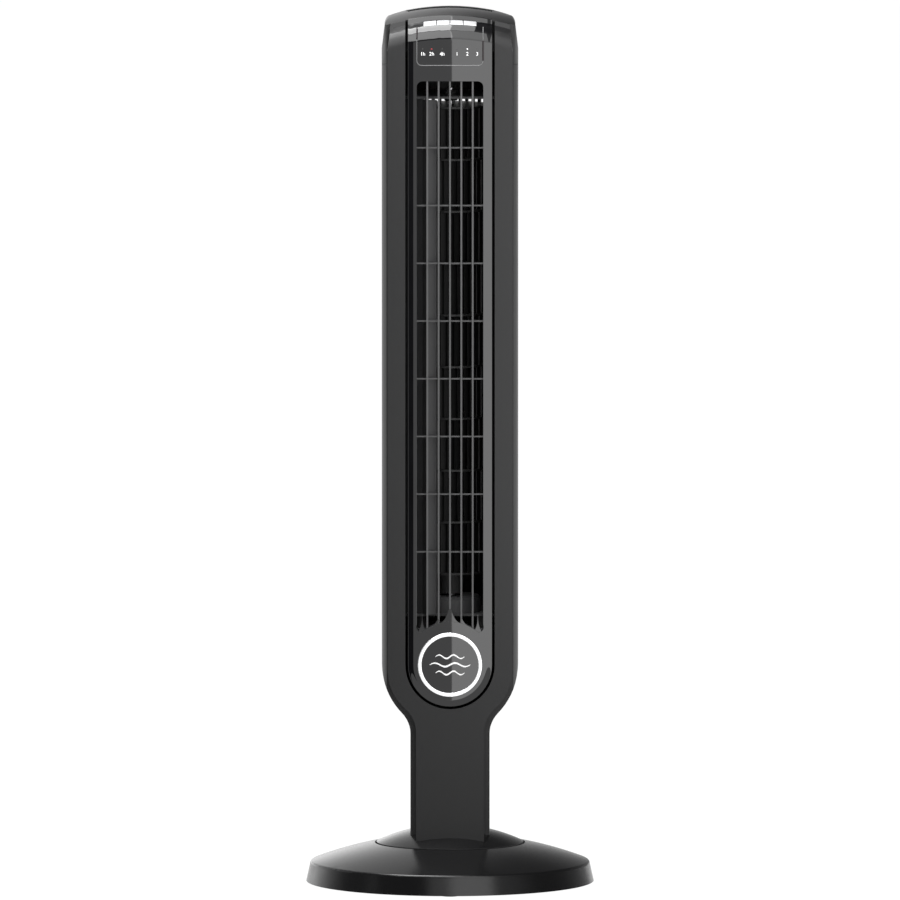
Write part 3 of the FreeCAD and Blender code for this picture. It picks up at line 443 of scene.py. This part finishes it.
def legend(text, x):
    """A short printed legend on the insert's face, centred."""
    bpy.ops.object.select_all(action="DESELECT")
    bpy.ops.object.text_add(rotation=(math.pi / 2, 0, 0),
                            location=(x, FACE - 0.0001, LEGEND_FOOT))
    piece = bpy.context.object
    piece.data.body = text
    piece.data.size = LEGEND_SIZE
    piece.data.align_x = "CENTER"
    piece.data.offset = 0.00004
    piece.data.extrude = 0.00012
    piece.data.resolution_u = 4
    bpy.ops.object.convert(target="MESH")
    return bpy.context.object


LEGENDS = {"1h": -0.0283, "2h": -0.019, "4h": -0.0081, "1": 0.0073, "2": 0.018, "3": 0.0282}
marks = [legend(text, x) for text, x in LEGENDS.items()]
settle(joined(marks), "legends", "tower", print_white)


def glow(name, colour, strength):
    """The hazy lens of a lamp that is lit."""
    finish = Finish(name, colour, 0.4, Emission_Strength=strength)
    finish.tint(finish.noise(900, detail=1.0), 0.1)
    finish.shader.inputs["Emission Color"].default_value = (*colour, 1)
    return finish.material


def lamp(name, x, material, radius):
    """A lamp's flat round lens, standing just proud of the insert."""
    bpy.ops.object.select_all(action="DESELECT")
    bpy.ops.mesh.primitive_uv_sphere_add(segments=16, ring_count=8, radius=radius,
                                         location=(x, FACE, LAMP_HEIGHT), scale=(1, 0.35, 1))
    bpy.ops.object.shade_smooth()
    settle(bpy.context.object, name, "tower", material)


lamp_off = moulded("lamp_off", (0.03, 0.03, 0.03), 0.15, 0.00001)
wear(["indicator_lamps"], lamp_off)
for text, x in LEGENDS.items():
    if text == "2":
        lamp("lamp_speed_2", x, glow("lamp_white", (1.0, 1.0, 1.0), 1.0), 0.0006)
    elif text == "2h":
        lamp("lamp_timer_2h", x, glow("lamp_red", (0.3, 0.01, 0.02), 0.4), 0.0007)
    else:
        lamp("lamp_" + text, x, lamp_off, 0.0006)

# ============================================================ keys
# Four silver-grey keys in a row on the crown, each with its own gap, backed by a dark ridge.
key_satin = moulded("key_satin", (0.45, 0.45, 0.46), 0.3, Metallic=0.35)
for key in ("timer_key", "swing_key", "speed_key", "power_key"):
    softened(key + "_cap", key, key, key_satin, 0.0006)

# ============================================================ impeller
# A cross-flow wheel of black glass-filled plastic: thin curved blades between ring discs, in
# nine sections, each turned half a pitch from the next and welded to it.
impeller_black = moulded("impeller_black", (0.006, 0.006, 0.006), 0.4, Specular_IOR_Level=0.25)
low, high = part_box("impeller")
AXIS = (low + high) / 2
WHEEL = (high.x - low.x) / 2
DISC = 0.002
CHORD = 0.0115
SECTIONS = 9
BLADES = 34
step_up = (high.z - low.z - DISC) / SECTIONS


def blade():
    """One curved blade, standing at the wheel's rim on +X."""
    bpy.ops.object.select_all(action="DESELECT")
    bpy.ops.mesh.primitive_grid_add(x_subdivisions=5, y_subdivisions=1, size=1)
    piece = bpy.context.object
    for corner in piece.data.vertices:
        share = corner.co.x + 0.5
        out = WHEEL - 0.0006 - CHORD * (1 - share)
        bow = 0.0034 * (4 * share * (1 - share)) + 0.0045 * (1 - share)
        corner.co = (out, bow, (corner.co.y + 0.5) * step_up)
    modify(piece, "SOLIDIFY", thickness=0.0009, offset=0)
    bpy.ops.object.shade_smooth_by_angle(angle=math.radians(40))
    return piece


def ring_disc(height, hole):
    """A flat disc of the wheel, open in the middle where hole is given."""
    bpy.ops.object.select_all(action="DESELECT")
    fill = "NOTHING" if hole else "NGON"
    bpy.ops.mesh.primitive_circle_add(vertices=72, radius=WHEEL, fill_type=fill,
                                      location=(AXIS.x, AXIS.y, height + DISC / 2))
    piece = bpy.context.object
    if hole:
        bpy.ops.object.mode_set(mode="EDIT")
        bpy.ops.mesh.select_all(action="SELECT")
        bpy.ops.mesh.extrude_edges_move()
        bpy.ops.transform.resize(value=(hole / WHEEL, hole / WHEEL, 1),
                                 center_override=(AXIS.x, AXIS.y, height + DISC / 2))
        bpy.ops.mesh.select_all(action="SELECT")
        bpy.ops.mesh.normals_make_consistent(inside=False)
        bpy.ops.object.mode_set(mode="OBJECT")
    modify(piece, "SOLIDIFY", thickness=DISC, offset=0)
    return piece


pattern = blade()
wheel = []
for section in range(SECTIONS):
    for number in range(BLADES):
        copy = bpy.data.objects.new("blade", pattern.data.copy())
        bpy.context.scene.collection.objects.link(copy)
        copy.location = (AXIS.x, AXIS.y, low.z + DISC / 2 + section * step_up)
        copy.rotation_euler.z = 2 * math.pi * (number + 0.5 * (section % 2)) / BLADES
        wheel.append(copy)
bpy.data.objects.remove(pattern)
for level in range(SECTIONS + 1):
    solid = level in (0, SECTIONS)
    wheel.append(ring_disc(low.z + level * step_up, None if solid else WHEEL - CHORD))
wheel = joined(wheel)
settle(wheel, "impeller_wheel", "impeller", impeller_black)
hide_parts("impeller")
wear(["impeller_hub"], rubber)
wear(["top_pin"], steel)
wear(["motor_rotor"], motor_paint)

# ============================================================ duct and motor
# Grey walls turn the air from the intake to the outlet; below them the motor hangs from a
# plated bracket on rubber mounts.
duct_grey = moulded("duct_grey", (0.032, 0.032, 0.033), 0.5, Specular_IOR_Level=0.3)
wear(["duct_top_plate", "duct_bottom_plate", "scroll_wall", "cutoff_wall"], duct_grey)
wear(["upper_bearing", "motor_mounts", "motor_lead", "control_lead"], rubber)
wear(["motor_bracket"], motor_paint)
wear(["motor_case"], motor_paint)
winding = moulded("winding", (0.5, 0.22, 0.09), 0.35, Metallic=0.8)
wear(["motor_stator"], winding)

# ============================================================ electrics
# Capacitor and terminal block stand in the neck, and the control board under the keys.
case_white = moulded("case_white", (0.7, 0.7, 0.68), 0.4)
wear(["run_capacitor", "wiring_block"], case_white)
board_green = moulded("board_green", (0.02, 0.12, 0.05), 0.35)
wear(["control_board"], board_green)

# ============================================================ studio
# A pale floor, a bright surround that is brightest behind and to the left, soft light cards in
# front, and a long lens a little above the middle.
bpy.ops.object.select_all(action="DESELECT")
bpy.ops.mesh.primitive_plane_add(size=200)
floor = bpy.context.object
floor.name = "floor"
pale = Finish("pale_floor", (0.04, 0.04, 0.04), 0.9, Emission_Strength=1.0,
              Specular_IOR_Level=0.0)
pale.shader.inputs["Emission Color"].default_value = (1, 1, 1, 1)
floor.data.materials.append(pale.material)

world = bpy.data.worlds.new("surround")
bpy.context.scene.world = world
world.use_nodes = True
sky = Graph(world.node_tree)
direction = sky.node("ShaderNodeTexCoord", {}, output="Generated")
along_x, along_y, along_z = (sky.node("ShaderNodeSeparateXYZ", {}, direction, output=axis)
                             for axis in ("X", "Y", "Z"))
behind = sky.ramp(along_y, 0.0, 0.9)
level_with = sky.ramp(along_z, 0.55, 0.05)
leftward = sky.ramp(along_x, 0.12, -0.12)
above = sky.ramp(along_z, 0.05, 0.3)
ahead = sky.ramp(along_y, -0.2, -0.6)
surround = (0.06 + behind * (level_with * 0.3 + leftward * (level_with * 0.8 + 0.7))
            + above * ahead * (0.5 + leftward * 0.6))
seen = sky.node("ShaderNodeLightPath", {}, output="Is Camera Ray")
backdrop = world.node_tree.nodes["Background"]
brightness = surround + seen * (0.95 - surround)
world.node_tree.links.new(brightness.socket, backdrop.inputs["Strength"])
backdrop.inputs["Color"].default_value = (1, 1, 1, 1)
bpy.context.scene.view_settings.view_transform = "Standard"


def soft_light(name, centre, target, width, height, power):
    """A rectangular light card that the camera doesn't see."""
    data = bpy.data.lights.new(name, "AREA")
    data.shape = "RECTANGLE"
    data.size = width
    data.size_y = height
    data.energy = power
    light = bpy.data.objects.new(name, data)
    bpy.context.scene.collection.objects.link(light)
    light.location = centre
    light.rotation_euler = (Vector(target) - Vector(centre)).to_track_quat("-Z", "Y").to_euler()
    light.visible_camera = False


soft_light("front_card", (0.302, -0.9, 1.145), (0.302, 0, 1.145), 0.6, 2.11, 9.2)
soft_light("left_card", (-0.595, -0.88, 1.55), (-0.595, 0, 1.55), 1.2, 1.1, 15)
soft_light("right_ceiling", (0.1025, -0.1, 2.2), (0.1025, -0.1, 0), 0.195, 1.5, 3.7)
soft_light("left_ceiling", (-0.595, -0.1, 2.2), (-0.595, -0.1, 0), 1.2, 1.5, 60)
bpy.ops.object.select_all(action="DESELECT")
bpy.ops.mesh.primitive_plane_add(size=1, location=(-0.96, -0.9, 0.5),
                                 rotation=(math.pi / 2, 0, 0))
flag = bpy.context.object
flag.name = "black_flag"
flag.dimensions = (1.4, 1.0, 0)
flag.visible_camera = False
flag.data.materials.append(moulded("black_cloth", (0.002, 0.002, 0.002), 0.95,
                                   Specular_IOR_Level=0.0))

ELEVATION = math.radians(5.6)
DISTANCE = 30.0
VIEW_WIDTH = 0.9378
AIM_HEIGHT = 0.4524
camera_data = bpy.data.cameras.new("camera")
camera_data.lens = camera_data.sensor_width * DISTANCE / VIEW_WIDTH
camera_data.clip_end = 300
camera = bpy.data.objects.new("camera", camera_data)
bpy.context.scene.collection.objects.link(camera)
aim = Vector((0, 0, AIM_HEIGHT))
camera.location = aim + Vector((0, -math.cos(ELEVATION), math.sin(ELEVATION))) * DISTANCE
camera.rotation_euler = (aim - camera.location).to_track_quat("-Z", "Y").to_euler()
bpy.context.scene.camera = camera
